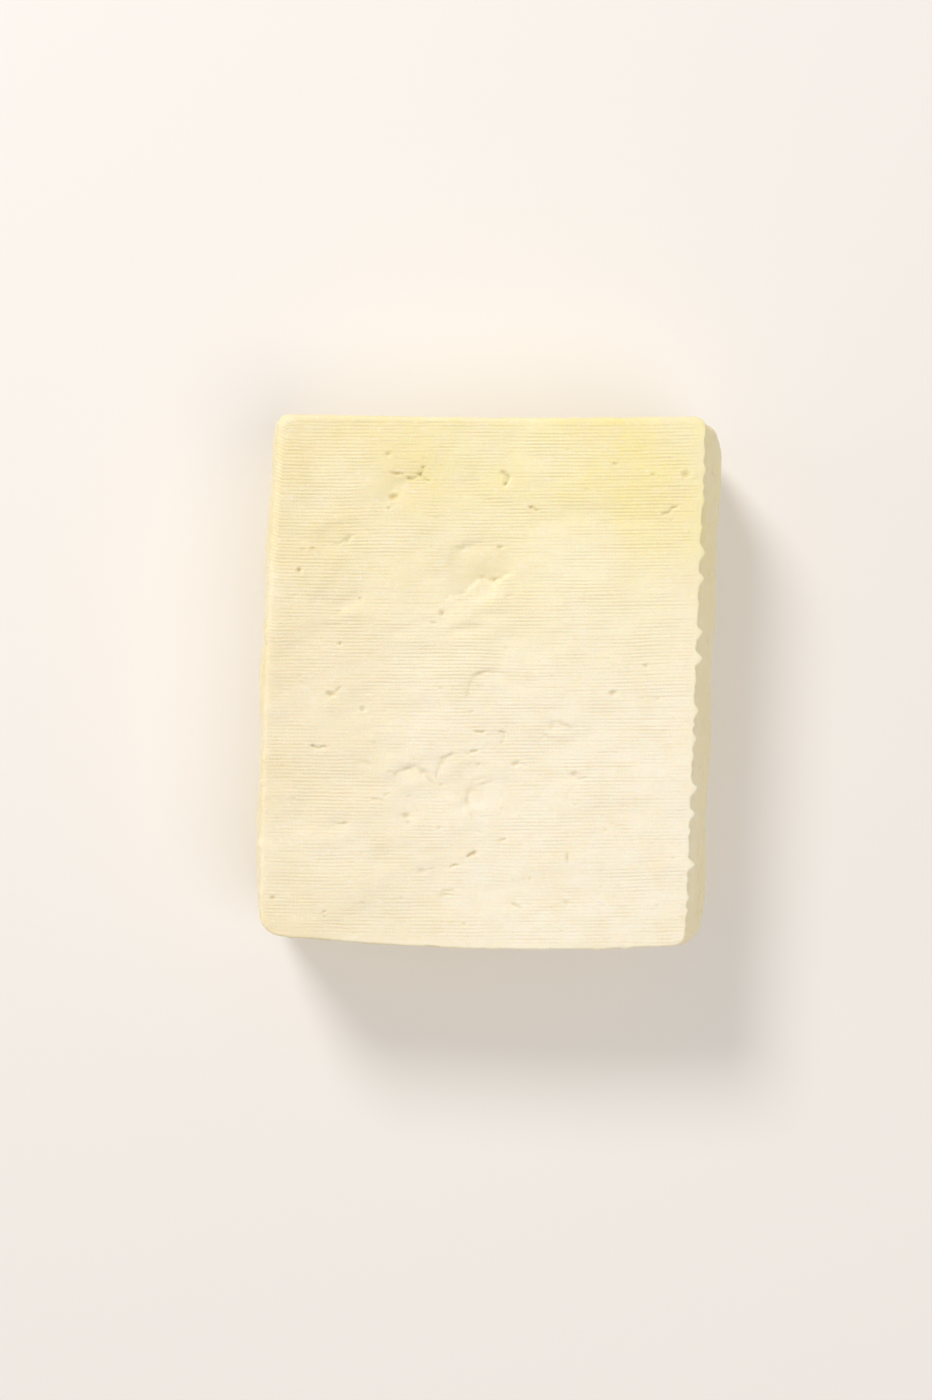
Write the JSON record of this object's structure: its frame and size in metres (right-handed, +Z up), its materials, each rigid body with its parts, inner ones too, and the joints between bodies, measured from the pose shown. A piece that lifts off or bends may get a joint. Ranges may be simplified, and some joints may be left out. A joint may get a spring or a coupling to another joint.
{
  "type": "tofu block",
  "caption": "Rectangular block of firm pressed tofu with a cloth-marked top face, bulging sides, a torn skin lip along one edge and a flat base to rest on.",
  "frame": {"origin": "middle of the bounding box at the flat base", "axes": "+Z up, +Y along the length from the bowed near end to the far end, +X across the width towards the side with the torn lip"},
  "size_m": [0.1026, 0.1196, 0.0383],
  "materials": {
    "tofu": "moist, soft satin, fine cloth ridges"
  },
  "bodies": {
    "root": {"tofu_block": "tofu"}
  },
  "joints": []
}
